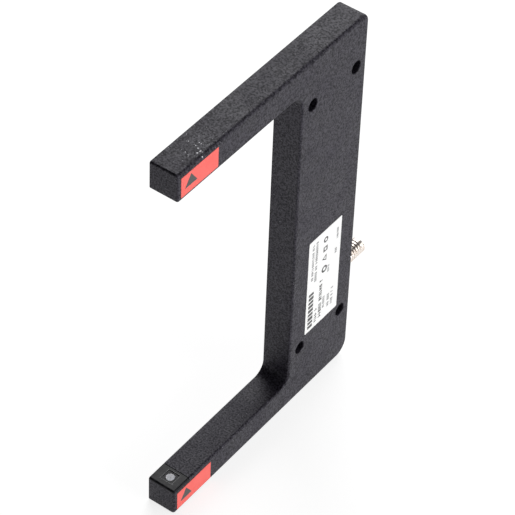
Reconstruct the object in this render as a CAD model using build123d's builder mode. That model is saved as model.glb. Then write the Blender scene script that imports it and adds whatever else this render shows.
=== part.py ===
"""Large one-beam fork photoelectric sensor, as separate pieces, in millimetres.

X runs through the thickness, from the mounting face (X = 0) to the label face.
Y runs along the arms: the tips are at -Y and the connector leaves at +Y.
Z runs up the spine.  The origin is the centre of the four mounting holes, on the mounting face.
"""
from build123d import *
import os

os.makedirs("parts", exist_ok=True)

# ---------------------------------------------------------------- body
fork_opening = 180.0
arm_height = 15.0
body_thickness = 15.0
body_depth = 134.5
spine_width = 48.0
lower_back_radius = 8.0
upper_back_radius = 4.0
inner_radius = 6.5
outer_edge_radius = 1.8
inner_edge_radius = 1.2
tip_edge_radius = 1.0
mount_edge_radius = 0.3

# ---------------------------------------------------------------- mounting holes
hole_to_back = 8.0
hole_to_fork = 8.0
hole_to_base = 33.0
hole_to_top = 26.0
mount_hole_radius = 3.3
mount_hole_chamfer = 0.25
boss_to_wall = 1.0

# ---------------------------------------------------------------- shell, cover and gasket
wall = 2.2
floor_thickness = 2.0
rim = 1.4
cover_thickness = 1.5
cover_gap = 0.1
gasket_thickness = 0.5
cover_screw_boss_radius = 2.5
cover_screw_from_wall = 2.0
cover_screw_to_tip = 24.0
cover_screw_to_spine = 12.0
cover_screw_to_corner = 8.0
cover_screw_above_middle = 24.0
top_cover_screw_to_back = 5.0
top_cover_screw_to_top = 7.0

# ---------------------------------------------------------------- small screws
screw_radius = 1.0
screw_head_radius = 1.9
screw_length = 6.0
screw_gap = 0.02
drive_width = 0.5
drive_length = 2.2
drive_depth = 0.5
pan_head_height = 1.2
pan_head_edge = 0.4

# ---------------------------------------------------------------- optics at the tips
beam_to_tip = 6.5
window_length = 11.0
window_thickness = 1.0
window_gap = 0.4
window_recess_size = 6.7
window_recess_depth = 0.3
lens_radius = 2.1
lens_rim = 0.4
lens_dome = 1.0
lens_dome_edge = 0.95
lens_gap = 0.05
holder_bore_gap = 0.2
holder_to_tip_wall = 0.1
holder_height = 5.8
emitter_radius = 1.5
emitter_dome_edge = 1.35
emitter_flange_radius = 1.9
emitter_flange_height = 0.8
emitter_body_height = 2.2
emitter_lead_size = 0.5
emitter_lead_pitch = 2.54
emitter_lead_length = 1.8
emitter_below_holder = 0.2

# ---------------------------------------------------------------- boards and ribbons
board_thickness = 1.0
board_gap = 0.5
boss_clearance = 0.7
tip_board_length = 17.4
ribbon_width = 4.0
ribbon_thickness = 0.3
ribbon_depth_in_arm = 5.2
ribbon_lap = 8.0
ribbon_tip_lap = 3.0
socket_length = 3.5
socket_width = 6.4
socket_height = 2.0
socket_gap = 0.05
socket_past_ribbon = 1.0
board_post_radius = 2.2
upper_board_screw_to_fork = 15.7
upper_board_screw_below_holes = 20.0
middle_board_screw_to_fork = 9.4
middle_board_screw_above_connector = 16.0
lower_board_screw_to_fork = 23.5
lower_board_screw_below_holes = 12.0
board_past_insert = 0.5
notch_to_nut = 2.5

# ---------------------------------------------------------------- components on the main board
parts_to_fork = 18.8
controller_below_middle = 12.0
controller_size = 10.0
controller_height = 1.4
controller_corner = 0.4
controller_chamfer = 0.2
controller_legs = 11
controller_leg_pitch = 0.8
controller_leg_width = 0.35
controller_leg_length = 1.2
controller_leg_height = 0.25
regulator_below_connector = 10.0
regulator_length = 6.5
regulator_width = 3.5
regulator_height = 1.6
regulator_tab_length = 3.0
regulator_leg_width = 0.7
regulator_leg_pitch = 2.3
regulator_leg_reach = 1.6
regulator_leg_height = 0.3
capacitors_above_connector = 3.0
capacitor_pitch = 7.0
capacitor_radius = 2.5
capacitor_height = 6.5
capacitor_edge = 0.4
resistors_above_middle = 16.0
resistor_length = 2.0
resistor_width = 1.25
resistor_height = 0.5
resistor_pitch_y = 5.0
resistor_pitch_z = 4.0

# ---------------------------------------------------------------- connector
connector_to_base = 53.5
thread_radius = 4.0
thread_length = 13.5
thread_chamfer = 0.5
relief_depth = 0.5
relief_length = 1.5
hex_flange_lip = 0.23
hex_flange_height = 2.5
hex_chamfer = 0.4
panel_gap = 0.05
stub_length = 4.0
nut_wall = 1.0
nut_height = 2.6
socket_wall = 0.9
socket_depth = 8.5
insert_gap = 0.02
insert_tail = 0.8
key_radius = 0.45
key_gap = 0.1
pin_radius = 0.5
pin_circle_radius = 1.5
pin_reach = 6.5
pin_tail = 1.5
pin_tip_edge = 0.4
pin_gap = 0.02
lead_radius = 0.4
lead_run = 4.5
lead_bend = 1.5
ring_section_radius = 0.3
ring_to_hole = 0.1
ring_gap = 0.02

# ---------------------------------------------------------------- adjusters and indicators
trimmer_to_connector = 22.5
selector_to_trimmer = 14.0
adjuster_body_size = 7.0
adjuster_body_length = 5.8
adjuster_body_chamfer = 0.3
adjuster_body_to_wall = 1.0
rotor_radius = 1.9
rotor_stem_radius = 1.2
rotor_stem_length = 4.3
rotor_gap = 0.05
rotor_end_gap = 0.1
rotor_below_face = 0.4
rotor_slot_width = 0.6
rotor_slot_depth = 0.9
rotor_slot_length = 3.0
rotor_pointer_radius = 0.35
seal_wall = 0.95
seal_below_face = 0.2
pipe_radius = 1.4
pipe_gap = 0.05
pipe_flange_radius = 2.0
pipe_flange_height = 0.8
pipe_length = 10.5
pipe_above_chip = 0.3
indicator_to_selector = 10.0
indicator_pitch = 7.0
chip_length = 3.0
chip_width = 1.6
chip_height = 0.9

# ---------------------------------------------------------------- labels
label_thickness = 0.1
rating_label_width = 25.2
rating_label_height = 59.0
rating_label_above_hole = 5.6
rating_label_corner = 0.6
beam_label_corner = 0.3
beam_label_length = 24.9
beam_label_height = 10.9
beam_label_to_tip = 2.0
beam_label_below_middle = 0.4

# ---------------------------------------------------------------- worked-out places
body_height = fork_opening + 2 * arm_height
hole_pitch_y = spine_width - hole_to_back - hole_to_fork
hole_pitch_z = body_height - hole_to_base - hole_to_top
back_y = hole_pitch_y / 2 + hole_to_back
fork_y = back_y - spine_width
tip_y = back_y - body_depth
base_z = -hole_pitch_z / 2 - hole_to_base
top_z = base_z + body_height
lower_inner_z = base_z + arm_height
upper_inner_z = top_z - arm_height
middle_z = (lower_inner_z + upper_inner_z) / 2
beam_y = tip_y + beam_to_tip
mid_x = body_thickness / 2
ledge_x = cover_thickness + gasket_thickness
floor_x = body_thickness - floor_thickness
board_top_x = mid_x - adjuster_body_size / 2
board_height = board_top_x - board_thickness
mount_boss_radius = hole_to_back - wall - boss_to_wall
lens_seat_radius = lens_radius + lens_rim + 2 * lens_gap
holder_bore_radius = lens_radius + holder_bore_gap
holder_length = 2 * (beam_to_tip - wall - holder_to_tip_wall)
connector_z = base_z + connector_to_base
trimmer_z = connector_z + trimmer_to_connector
selector_z = trimmer_z + selector_to_trimmer
indicator_z = [selector_z + indicator_to_selector + i * indicator_pitch for i in range(2)]
inner_back_y = back_y - wall
flange_top_y = back_y + hex_flange_height
connector_end_y = flange_top_y + thread_length
socket_bore_radius = thread_radius - socket_wall
relief_radius = thread_radius - relief_depth
ring_circle_radius = thread_radius + panel_gap + ring_to_hole + ring_section_radius
hex_flange_across = 2 * (ring_circle_radius + ring_section_radius + ring_gap + hex_flange_lip)
nut_across = 2 * (thread_radius + nut_wall)
insert_front_y = connector_end_y - socket_depth
insert_back_y = inner_back_y - stub_length - insert_tail
seal_radius = rotor_radius + rotor_gap + seal_wall
adjuster_front_y = inner_back_y - adjuster_body_to_wall

# Each arm is (inner face height, direction from the inner face into the arm).
lower_arm = (lower_inner_z, -1)
upper_arm = (upper_inner_z, 1)

cover_screw_points = [
    (arm_y, outer_z - way * (wall + cover_screw_from_wall))
    for outer_z, way in ((base_z, -1), (top_z, 1))
    for arm_y in (tip_y + cover_screw_to_tip, fork_y - cover_screw_to_spine)
]
cover_screw_points.append((back_y - cover_screw_to_corner, base_z + cover_screw_to_corner))
cover_screw_points.append((back_y - top_cover_screw_to_back, top_z - top_cover_screw_to_top))
cover_screw_points.append((inner_back_y - cover_screw_from_wall, middle_z + cover_screw_above_middle))
cover_screw_points.append((fork_y + wall + cover_screw_from_wall, middle_z))

board_screw_points = [
    (fork_y + upper_board_screw_to_fork, hole_pitch_z / 2 - upper_board_screw_below_holes),
    (fork_y + middle_board_screw_to_fork, connector_z + middle_board_screw_above_connector),
    (fork_y + lower_board_screw_to_fork, -hole_pitch_z / 2 - lower_board_screw_below_holes),
]


def on_mount_side(x, points):
    """Planes that look out of the mounting face, at a height x, one for each point (y, z)."""
    return [Plane(origin=(x, y, z), x_dir=(0, 1, 0), z_dir=(-1, 0, 0)) for y, z in points]


def to_back(y, z, x=mid_x):
    """A plane that looks out of the back face, along +Y."""
    return Plane(origin=(x, y, z), x_dir=(1, 0, 0), z_dir=(0, 1, 0))


def finish(builder, name):
    """Label the piece and write it as one STEP file."""
    builder.part.label = name
    export_step(builder.part, f"parts/{name}.step")


def body_outline(inset, x):
    """The C outline of the body, drawn in by inset, on a plane at height x."""
    with BuildSketch(Plane.YZ.offset(x)) as sketch:
        with Locations(((tip_y + back_y) / 2, (base_z + top_z) / 2)):
            Rectangle(body_depth, body_height)
        with Locations(((tip_y + fork_y) / 2, middle_z)):
            Rectangle(fork_y - tip_y, fork_opening, mode=Mode.SUBTRACT)
        corners = (
            (back_y, base_z, lower_back_radius),
            (back_y, top_z, upper_back_radius),
            (fork_y, lower_inner_z, inner_radius),
            (fork_y, upper_inner_z, inner_radius),
        )
        for y, z, radius in corners:
            fillet(sketch.vertices().sort_by_distance((y, z))[0], radius)
        if inset > 0:
            offset(amount=-inset, kind=Kind.INTERSECTION, mode=Mode.REPLACE)
    return sketch.sketch


def body_block():
    """The full outside of the body, with its rounded edges."""
    with BuildPart() as block:
        extrude(body_outline(0, 0), amount=body_thickness)
        face = block.faces().sort_by(Axis.X)[-1]
        tips = face.edges().filter_by(Axis.Z).group_by(Axis.Y)[0]
        low, high = lower_inner_z - inner_edge_radius, upper_inner_z + inner_edge_radius
        inner = face.edges().filter_by_position(Axis.Z, low, high)
        inner = inner.filter_by_position(Axis.Y, tip_y, fork_y + inner_edge_radius)
        outer = [edge for edge in face.edges() if edge not in tips and edge not in inner]
        fillet(inner, inner_edge_radius)
        fillet(outer, outer_edge_radius)
        for tip_face in block.faces().filter_by(Axis.Y).group_by(Axis.Y)[0]:
            edges = tip_face.edges().sort_by(Axis.X)[1:]
            fillet(edges, tip_edge_radius)
        fillet(block.faces().sort_by(Axis.X)[0].edges(), mount_edge_radius)
    return block.part


def tip_slab(arm, length):
    """The middle of a slab of that length, under the inner face at the tip of an arm."""
    inner_z, way = arm
    return (mid_x, tip_y + length / 2, inner_z + way * window_thickness / 2)


def arm_plane(arm, depth, y=beam_y):
    """A plane at a depth below an arm's inner face, that looks into the fork."""
    inner_z, way = arm
    return Plane(origin=(mid_x, y, inner_z + way * depth), x_dir=(1, 0, 0), z_dir=(0, 0, -way))


outer_block = body_block()

# ================================================================ housing
with BuildPart() as housing:
    add(outer_block)
    extrude(body_outline(rim, 0), amount=ledge_x, mode=Mode.SUBTRACT)
    extrude(body_outline(wall, ledge_x), amount=floor_x - ledge_x, mode=Mode.SUBTRACT)
    with BuildSketch(Plane.YZ.offset(cover_thickness)):
        with GridLocations(hole_pitch_y, hole_pitch_z, 2, 2):
            Circle(mount_boss_radius)
    extrude(amount=floor_x - cover_thickness)
    with BuildSketch(Plane.YZ.offset(ledge_x)):
        with Locations(*cover_screw_points):
            Circle(cover_screw_boss_radius)
    extrude(amount=floor_x - ledge_x)
    with BuildSketch(Plane.YZ.offset(board_top_x)):
        with Locations(*board_screw_points):
            Circle(board_post_radius)
    extrude(amount=floor_x - board_top_x)
    with Locations(Plane.YZ.offset(body_thickness)):
        with GridLocations(hole_pitch_y, hole_pitch_z, 2, 2):
            Hole(mount_hole_radius)
    rims = housing.edges().filter_by(GeomType.CIRCLE).group_by(Axis.X)[-1]
    chamfer(rims, mount_hole_chamfer)
    with Locations(*on_mount_side(ledge_x, cover_screw_points)):
        Hole(screw_radius + screw_gap, depth=screw_length)
    with Locations(*on_mount_side(board_top_x, board_screw_points)):
        Hole(screw_radius + screw_gap, depth=screw_length)
    for arm in (lower_arm, upper_arm):
        pocket_length = window_length + window_gap
        with Locations(tip_slab(arm, pocket_length)):
            Box(body_thickness, pocket_length, window_thickness, mode=Mode.SUBTRACT)
        with BuildSketch(arm_plane(arm, wall)):
            Circle(lens_seat_radius)
        extrude(amount=wall, mode=Mode.SUBTRACT)
    with BuildSketch(to_back(inner_back_y, connector_z)):
        Circle(thread_radius + panel_gap)
    extrude(amount=wall, mode=Mode.SUBTRACT)
    for z in (trimmer_z, selector_z):
        with BuildSketch(to_back(inner_back_y, z)):
            Circle(seal_radius)
        extrude(amount=wall, mode=Mode.SUBTRACT)
    for z in indicator_z:
        with BuildSketch(to_back(inner_back_y, z)):
            Circle(pipe_radius + pipe_gap)
        extrude(amount=wall, mode=Mode.SUBTRACT)
finish(housing, "housing")

# ================================================================ side cover and gasket
with BuildPart() as side_cover:
    extrude(body_outline(rim + cover_gap, 0), amount=cover_thickness)
    with Locations(Plane.YZ.offset(cover_thickness)):
        with GridLocations(hole_pitch_y, hole_pitch_z, 2, 2):
            Hole(mount_hole_radius)
    with Locations(*on_mount_side(0, cover_screw_points)):
        CounterSinkHole(screw_radius + cover_gap, screw_head_radius + screw_gap)
finish(side_cover, "side_cover")

with BuildPart() as cover_gasket:
    extrude(body_outline(rim + cover_gap, cover_thickness), amount=gasket_thickness)
    extrude(body_outline(wall, cover_thickness), amount=gasket_thickness, mode=Mode.SUBTRACT)
finish(cover_gasket, "cover_gasket")

# ================================================================ screws
with BuildPart() as cross_drive:
    with BuildSketch(Plane.XY):
        Rectangle(drive_length, drive_width)
        Rectangle(drive_width, drive_length)
    extrude(amount=-drive_depth)

with BuildPart() as flat_screw:
    with BuildSketch(Plane.XZ):
        with BuildLine():
            Polyline(
                (0, 0),
                (screw_head_radius, 0),
                (screw_radius, screw_radius - screw_head_radius),
                (screw_radius, -screw_length),
                (0, -screw_length),
                close=True,
            )
        make_face()
    revolve(axis=Axis.Z)
    add(cross_drive.part, mode=Mode.SUBTRACT)

with BuildPart() as pan_screw:
    with BuildSketch(Plane.XY):
        Circle(screw_head_radius)
    extrude(amount=-pan_head_height)
    fillet(pan_screw.edges().sort_by(Axis.Z)[-1], pan_head_edge)
    with BuildSketch(Plane.XY.offset(-pan_head_height)):
        Circle(screw_radius)
    extrude(amount=-screw_length)
    add(cross_drive.part, mode=Mode.SUBTRACT)

with BuildPart() as cover_screws:
    with Locations(*on_mount_side(0, cover_screw_points)):
        add(flat_screw.part)
finish(cover_screws, "cover_screws")

with BuildPart() as board_screws:
    with Locations(*on_mount_side(board_height - pan_head_height, board_screw_points)):
        add(pan_screw.part)
finish(board_screws, "board_screws")


# ================================================================ windows, lenses and their holders
def make_window(arm, name):
    """Dark plate let into the tip, with a square recess round the lens."""
    with BuildPart() as window:
        add(outer_block)
        with Locations(tip_slab(arm, window_length)):
            Box(body_thickness, window_length, window_thickness, mode=Mode.INTERSECT)
        with BuildSketch(arm_plane(arm, window_recess_depth)):
            Rectangle(window_recess_size, window_recess_size)
        extrude(amount=window_recess_depth, mode=Mode.SUBTRACT)
        with BuildSketch(arm_plane(arm, window_thickness)):
            Circle(lens_radius + lens_gap)
        extrude(amount=window_thickness, mode=Mode.SUBTRACT)
    finish(window, name)


def make_lens(arm, name):
    """Disc that shows in the window, a rim that the window traps, and a dome inside."""
    with BuildPart() as lens:
        with BuildSketch(arm_plane(arm, wall)):
            Circle(lens_radius + lens_rim)
        extrude(amount=wall - window_thickness)
        with BuildSketch(arm_plane(arm, window_thickness)):
            Circle(lens_radius)
        extrude(amount=window_thickness - window_recess_depth)
        with BuildSketch(arm_plane(arm, wall)):
            Circle(lens_radius)
        extrude(amount=-lens_dome)
        inner_z, way = arm
        dome_end = (mid_x, beam_y, inner_z + way * (wall + lens_dome))
        rim_edge = lens.edges().filter_by(GeomType.CIRCLE).sort_by_distance(dome_end)[0]
        fillet(rim_edge, lens_dome_edge)
    finish(lens, name)


def make_holder(arm, name):
    """Block that seats on the tip board and carries the lens over the emitter or the photodiode."""
    with BuildPart() as holder:
        inner_z, way = arm
        middle = ((board_top_x + floor_x) / 2, beam_y, inner_z + way * (wall + holder_height / 2))
        with Locations(middle):
            Box(floor_x - board_top_x, holder_length, holder_height)
        with BuildSketch(arm_plane(arm, wall)):
            Circle(holder_bore_radius)
        extrude(amount=-holder_height, mode=Mode.SUBTRACT)
    finish(holder, name)


def make_diode(arm, name):
    """Round-topped package with a flange and two leads that turn down onto the tip board."""
    inner_z, way = arm
    flange_depth = wall + holder_height + emitter_below_holder
    base_depth = flange_depth + emitter_flange_height
    with BuildPart() as diode:
        with BuildSketch(arm_plane(arm, base_depth)):
            Circle(emitter_flange_radius)
        extrude(amount=emitter_flange_height)
        with BuildSketch(arm_plane(arm, flange_depth)):
            Circle(emitter_radius)
        extrude(amount=emitter_body_height)
        top = diode.edges().filter_by(GeomType.CIRCLE).sort_by_distance((mid_x, beam_y, inner_z))[0]
        fillet(top, emitter_dome_edge)
        for side in (-1, 1):
            lead_y = beam_y + side * emitter_lead_pitch / 2
            with BuildSketch(arm_plane(arm, base_depth, lead_y)):
                Rectangle(emitter_lead_size, emitter_lead_size)
            extrude(amount=-emitter_lead_length)
            foot_z = inner_z + way * (base_depth + emitter_lead_length - emitter_lead_size / 2)
            with Locations(((board_top_x + mid_x) / 2, lead_y, foot_z)):
                Box(mid_x - board_top_x, emitter_lead_size, emitter_lead_size)
    finish(diode, name)


# ================================================================ tip boards and ribbons
tip_board_front_y = tip_y + wall + board_gap
tip_board_back_y = tip_board_front_y + tip_board_length


def make_tip_board(arm, name):
    """Small board that lies in the arm beside the floor of the housing."""
    inner_z, way = arm
    height = arm_height - 2 * wall - 2 * board_gap
    middle_y = (tip_board_front_y + tip_board_back_y) / 2
    with BuildPart() as board:
        with Locations(((board_height + board_top_x) / 2, middle_y, inner_z + way * arm_height / 2)):
            Box(board_thickness, tip_board_length, height)
    finish(board, name)


def ribbon_ends():
    """Where a ribbon starts on its tip board and ends on the main board."""
    return tip_board_back_y - ribbon_tip_lap, fork_y + wall + board_gap + ribbon_lap


def ribbon_middle_z(arm):
    """Height of a ribbon's centre line."""
    inner_z, way = arm
    return inner_z + way * ribbon_depth_in_arm


def make_ribbon(arm, name):
    """Flat ribbon that runs through an arm, from its tip board to the main board."""
    start_y, end_y = ribbon_ends()
    with BuildPart() as ribbon:
        with Locations((board_top_x + ribbon_thickness / 2, (start_y + end_y) / 2, ribbon_middle_z(arm))):
            Box(ribbon_thickness, end_y - start_y, ribbon_width)
    finish(ribbon, name)


make_window(lower_arm, "transmitter_window")
make_window(upper_arm, "receiver_window")
make_lens(lower_arm, "transmitter_lens")
make_lens(upper_arm, "receiver_lens")
make_holder(lower_arm, "transmitter_lens_holder")
make_holder(upper_arm, "receiver_lens_holder")
make_diode(lower_arm, "transmitter_emitter")
make_diode(upper_arm, "receiver_photodiode")
make_tip_board(lower_arm, "transmitter_board")
make_tip_board(upper_arm, "receiver_board")
make_ribbon(lower_arm, "transmitter_ribbon")
make_ribbon(upper_arm, "receiver_ribbon")

with BuildPart() as ribbon_sockets:
    socket_start, socket_end = ribbon_ends()
    for arm in (lower_arm, upper_arm):
        place_z = ribbon_middle_z(arm)
        socket_y = socket_end - socket_length / 2 + socket_past_ribbon
        with Locations((board_top_x + socket_height / 2, socket_y, place_z)):
            Box(socket_height, socket_length, socket_width)
        with Locations((board_top_x + ribbon_thickness / 2, socket_end - socket_length, place_z)):
            Box(
                ribbon_thickness + 2 * socket_gap,
                2 * socket_length + 2 * socket_gap,
                ribbon_width + 2 * socket_gap,
                mode=Mode.SUBTRACT,
            )
finish(ribbon_sockets, "ribbon_sockets")

# ================================================================ main board and what it carries
board_front_y = fork_y + wall + board_gap
notch_depth = back_y - insert_back_y - board_past_insert
notch_height = nut_across + 2 * notch_to_nut
with BuildPart() as main_board:
    extrude(body_outline(wall + board_gap, board_height), amount=board_thickness)
    with Locations(((board_height + board_top_x) / 2, (board_front_y + back_y) / 2, middle_z)):
        Box(board_thickness, back_y - board_front_y, body_height, mode=Mode.INTERSECT)
    with BuildSketch(Plane.YZ.offset(board_height)):
        with GridLocations(hole_pitch_y, hole_pitch_z, 2, 2):
            Circle(mount_boss_radius + boss_clearance)
        with Locations(*cover_screw_points):
            Circle(cover_screw_boss_radius + board_gap)
        with Locations(*board_screw_points):
            Circle(screw_radius + cover_gap)
        with Locations((back_y - notch_depth / 2, connector_z)):
            Rectangle(notch_depth, notch_height)
    extrude(amount=board_thickness, mode=Mode.SUBTRACT)
finish(main_board, "main_board")


def on_board(y, z):
    """A plane on the component side of the main board."""
    return Plane(origin=(board_top_x, y, z), x_dir=(0, 1, 0), z_dir=(1, 0, 0))


parts_y = fork_y + parts_to_fork
controller_z = middle_z - controller_below_middle
leg_rows = controller_size + controller_leg_length
with BuildPart() as controller_chip:
    with BuildSketch(on_board(parts_y, controller_z)):
        RectangleRounded(controller_size, controller_size, controller_corner)
    extrude(amount=controller_height)
    chamfer(controller_chip.faces().sort_by(Axis.X)[-1].edges(), controller_chamfer)
    with BuildSketch(on_board(parts_y, controller_z)):
        with GridLocations(leg_rows, controller_leg_pitch, 2, controller_legs):
            Rectangle(controller_leg_length, controller_leg_width)
        with GridLocations(controller_leg_pitch, leg_rows, controller_legs, 2):
            Rectangle(controller_leg_width, controller_leg_length)
    extrude(amount=controller_leg_height)
finish(controller_chip, "controller_chip")

regulator_z = connector_z - regulator_below_connector
leg_offset = (regulator_width + regulator_leg_reach) / 2
with BuildPart() as voltage_regulator:
    with BuildSketch(on_board(parts_y, regulator_z)):
        Rectangle(regulator_length, regulator_width)
    extrude(amount=regulator_height)
    with BuildSketch(on_board(parts_y, regulator_z)):
        with Locations((0, -leg_offset)):
            Rectangle(regulator_tab_length, regulator_leg_reach)
        with Locations((0, leg_offset)):
            with GridLocations(regulator_leg_pitch, regulator_leg_reach, 3, 1):
                Rectangle(regulator_leg_width, regulator_leg_reach)
    extrude(amount=regulator_leg_height)
finish(voltage_regulator, "voltage_regulator")

with BuildPart() as board_capacitors:
    with BuildSketch(on_board(parts_y, connector_z + capacitors_above_connector)):
        with GridLocations(capacitor_pitch, capacitor_pitch, 2, 1):
            Circle(capacitor_radius)
    extrude(amount=capacitor_height)
    for top_face in board_capacitors.faces().sort_by(Axis.X)[-2:]:
        fillet(top_face.edges(), capacitor_edge)
finish(board_capacitors, "board_capacitors")

with BuildPart() as board_resistors:
    with BuildSketch(on_board(parts_y, middle_z + resistors_above_middle)):
        with GridLocations(resistor_pitch_y, resistor_pitch_z, 3, 4):
            Rectangle(resistor_length, resistor_width)
    extrude(amount=resistor_height)
finish(board_resistors, "board_resistors")


# ================================================================ adjusters
def make_adjuster_body(z, name):
    """Square body on the main board, bored for the rotor's stem."""
    with BuildPart() as body:
        with BuildSketch(to_back(adjuster_front_y - adjuster_body_length, z)):
            Rectangle(adjuster_body_size, adjuster_body_size)
        extrude(amount=adjuster_body_length)
        chamfer(body.edges().filter_by(Axis.Y), adjuster_body_chamfer)
        with BuildSketch(to_back(adjuster_front_y, z)):
            Circle(rotor_stem_radius + rotor_gap)
        extrude(amount=-rotor_stem_length - rotor_end_gap, mode=Mode.SUBTRACT)
    finish(body, name)


def make_rotor(z, name, slot_arms):
    """Head with a driver slot and a pointer mark, on a stem that turns in the body."""
    head_front_y = back_y - rotor_below_face
    head_back_y = adjuster_front_y + rotor_end_gap
    with BuildPart() as rotor:
        with BuildSketch(to_back(head_back_y, z)):
            Circle(rotor_radius)
        extrude(amount=head_front_y - head_back_y)
        with BuildSketch(to_back(head_back_y, z)):
            Circle(rotor_stem_radius)
        extrude(amount=-rotor_stem_length)
        with BuildSketch(to_back(head_front_y, z)):
            for turn in slot_arms:
                Rectangle(rotor_slot_length, rotor_slot_width, rotation=turn)
            with Locations((0, rotor_slot_length / 2 - rotor_pointer_radius / 2)):
                Circle(rotor_pointer_radius)
        extrude(amount=-rotor_slot_depth, mode=Mode.SUBTRACT)
    finish(rotor, name)


make_adjuster_body(trimmer_z, "sensitivity_trimmer_body")
make_adjuster_body(selector_z, "mode_selector_body")
make_rotor(trimmer_z, "sensitivity_trimmer_rotor", (0, 90))
make_rotor(selector_z, "mode_selector_rotor", (90,))

with BuildPart() as adjuster_seals:
    for z in (trimmer_z, selector_z):
        with BuildSketch(to_back(inner_back_y, z)):
            Circle(seal_radius)
            Circle(rotor_radius + rotor_gap, mode=Mode.SUBTRACT)
        extrude(amount=wall - seal_below_face)
finish(adjuster_seals, "adjuster_seals")


# ================================================================ indicators
def make_light_pipe(z, name):
    """Clear pipe that takes the light of a chip on the board out through the back wall."""
    start_y = back_y - pipe_length
    chip_top_x = board_top_x + chip_height + pipe_above_chip
    with BuildPart() as pipe:
        with BuildSketch(to_back(start_y, z)):
            Circle(pipe_radius)
        extrude(amount=pipe_length)
        with BuildSketch(to_back(inner_back_y - pipe_flange_height, z)):
            Circle(pipe_flange_radius)
        extrude(amount=pipe_flange_height)
        with BuildSketch(Plane.YZ.offset(chip_top_x)):
            with Locations((start_y + pipe_radius, z)):
                Rectangle(2 * pipe_radius, 2 * pipe_radius)
        extrude(amount=mid_x - chip_top_x)
    finish(pipe, name)


def make_chip(z, name):
    """Small surface-mounted light source under the end of its pipe."""
    with BuildPart() as chip:
        with BuildSketch(on_board(back_y - pipe_length + pipe_radius, z)):
            Rectangle(chip_width, chip_length)
        extrude(amount=chip_height)
    finish(chip, name)


for light_z, light in zip(indicator_z, ("output", "power")):
    make_light_pipe(light_z, f"{light}_light_pipe")
    make_chip(light_z, f"{light}_indicator_chip")

# ================================================================ connector
ring_y = back_y + ring_section_radius + ring_gap
with BuildPart() as connector_shell:
    with BuildSketch(to_back(back_y, connector_z)):
        RegularPolygon(hex_flange_across / 2, 6, major_radius=False, rotation=30)
    extrude(amount=hex_flange_height)
    chamfer(connector_shell.faces().sort_by(Axis.Y)[-1].edges(), hex_chamfer)
    with BuildSketch(to_back(flange_top_y, connector_z)):
        Circle(relief_radius)
    extrude(amount=relief_length)
    with BuildSketch(to_back(flange_top_y + relief_length, connector_z)):
        Circle(thread_radius)
    extrude(amount=thread_length - relief_length)
    mouth = connector_shell.faces().sort_by(Axis.Y)[-1]
    chamfer(mouth.edges(), thread_chamfer)
    with BuildSketch(to_back(inner_back_y - stub_length, connector_z)):
        Circle(thread_radius)
    extrude(amount=stub_length + wall)
    with BuildSketch(to_back(inner_back_y - stub_length, connector_z)):
        Circle(socket_bore_radius)
    extrude(amount=connector_end_y - inner_back_y + stub_length, mode=Mode.SUBTRACT)
    with BuildSketch(to_back(back_y, connector_z)):
        Circle(ring_circle_radius + ring_section_radius + ring_gap)
        Circle(ring_circle_radius - ring_section_radius - ring_gap, mode=Mode.SUBTRACT)
    extrude(amount=2 * (ring_section_radius + ring_gap), mode=Mode.SUBTRACT)
finish(connector_shell, "connector_shell")

with BuildPart() as connector_o_ring:
    with Locations(to_back(ring_y, connector_z)):
        Torus(ring_circle_radius, ring_section_radius)
finish(connector_o_ring, "connector_o_ring")

with BuildPart() as connector_nut:
    with BuildSketch(to_back(inner_back_y - nut_height, connector_z)):
        RegularPolygon(nut_across / 2, 6, major_radius=False, rotation=30)
        Circle(thread_radius + screw_gap, mode=Mode.SUBTRACT)
    extrude(amount=nut_height)
finish(connector_nut, "connector_nut")


def pin_places(y):
    """The places of the three contacts, on a plane that looks out of the back face."""
    return [to_back(y, connector_z) * place for place in PolarLocations(pin_circle_radius, 3)]


with BuildPart() as connector_insert:
    with BuildSketch(to_back(insert_back_y, connector_z)):
        Circle(socket_bore_radius - insert_gap)
        with PolarLocations(pin_circle_radius, 3):
            Circle(pin_radius + pin_gap, mode=Mode.SUBTRACT)
    extrude(amount=insert_front_y - insert_back_y)
    with BuildSketch(to_back(insert_front_y, connector_z)):
        with Locations((key_radius + key_gap - socket_bore_radius, 0)):
            Circle(key_radius)
    extrude(amount=pin_reach)
finish(connector_insert, "connector_insert")

pin_back_y = insert_back_y - pin_tail
with BuildPart() as connector_pins:
    with BuildSketch(to_back(pin_back_y, connector_z)):
        with PolarLocations(pin_circle_radius, 3):
            Circle(pin_radius)
    extrude(amount=insert_front_y + pin_reach - pin_back_y)
    tips = connector_pins.edges().group_by(Axis.Y)[-1]
    fillet(tips, pin_tip_edge)
finish(connector_pins, "connector_pins")

with BuildPart() as connector_leads:
    for pin in PolarLocations(pin_circle_radius, 3).locations:
        pin_x = mid_x + pin.position.X
        pin_z = connector_z - pin.position.Y
        with BuildLine() as route:
            FilletPolyline(
                (pin_x, pin_back_y, pin_z),
                (pin_x, pin_back_y - lead_run, pin_z),
                (board_top_x, pin_back_y - lead_run, pin_z),
                radius=lead_bend,
            )
        with BuildSketch(Plane(origin=(pin_x, pin_back_y, pin_z), z_dir=(0, -1, 0))):
            Circle(lead_radius)
        sweep(path=route.wire())
finish(connector_leads, "connector_leads")

# ================================================================ labels
rating_label_bottom_z = -hole_pitch_z / 2 + rating_label_above_hole
with BuildPart() as rating_label:
    with BuildSketch(Plane.YZ.offset(body_thickness)):
        with Locations((0, rating_label_bottom_z + rating_label_height / 2)):
            RectangleRounded(rating_label_width, rating_label_height, rating_label_corner)
    extrude(amount=label_thickness)
finish(rating_label, "rating_label")


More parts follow.
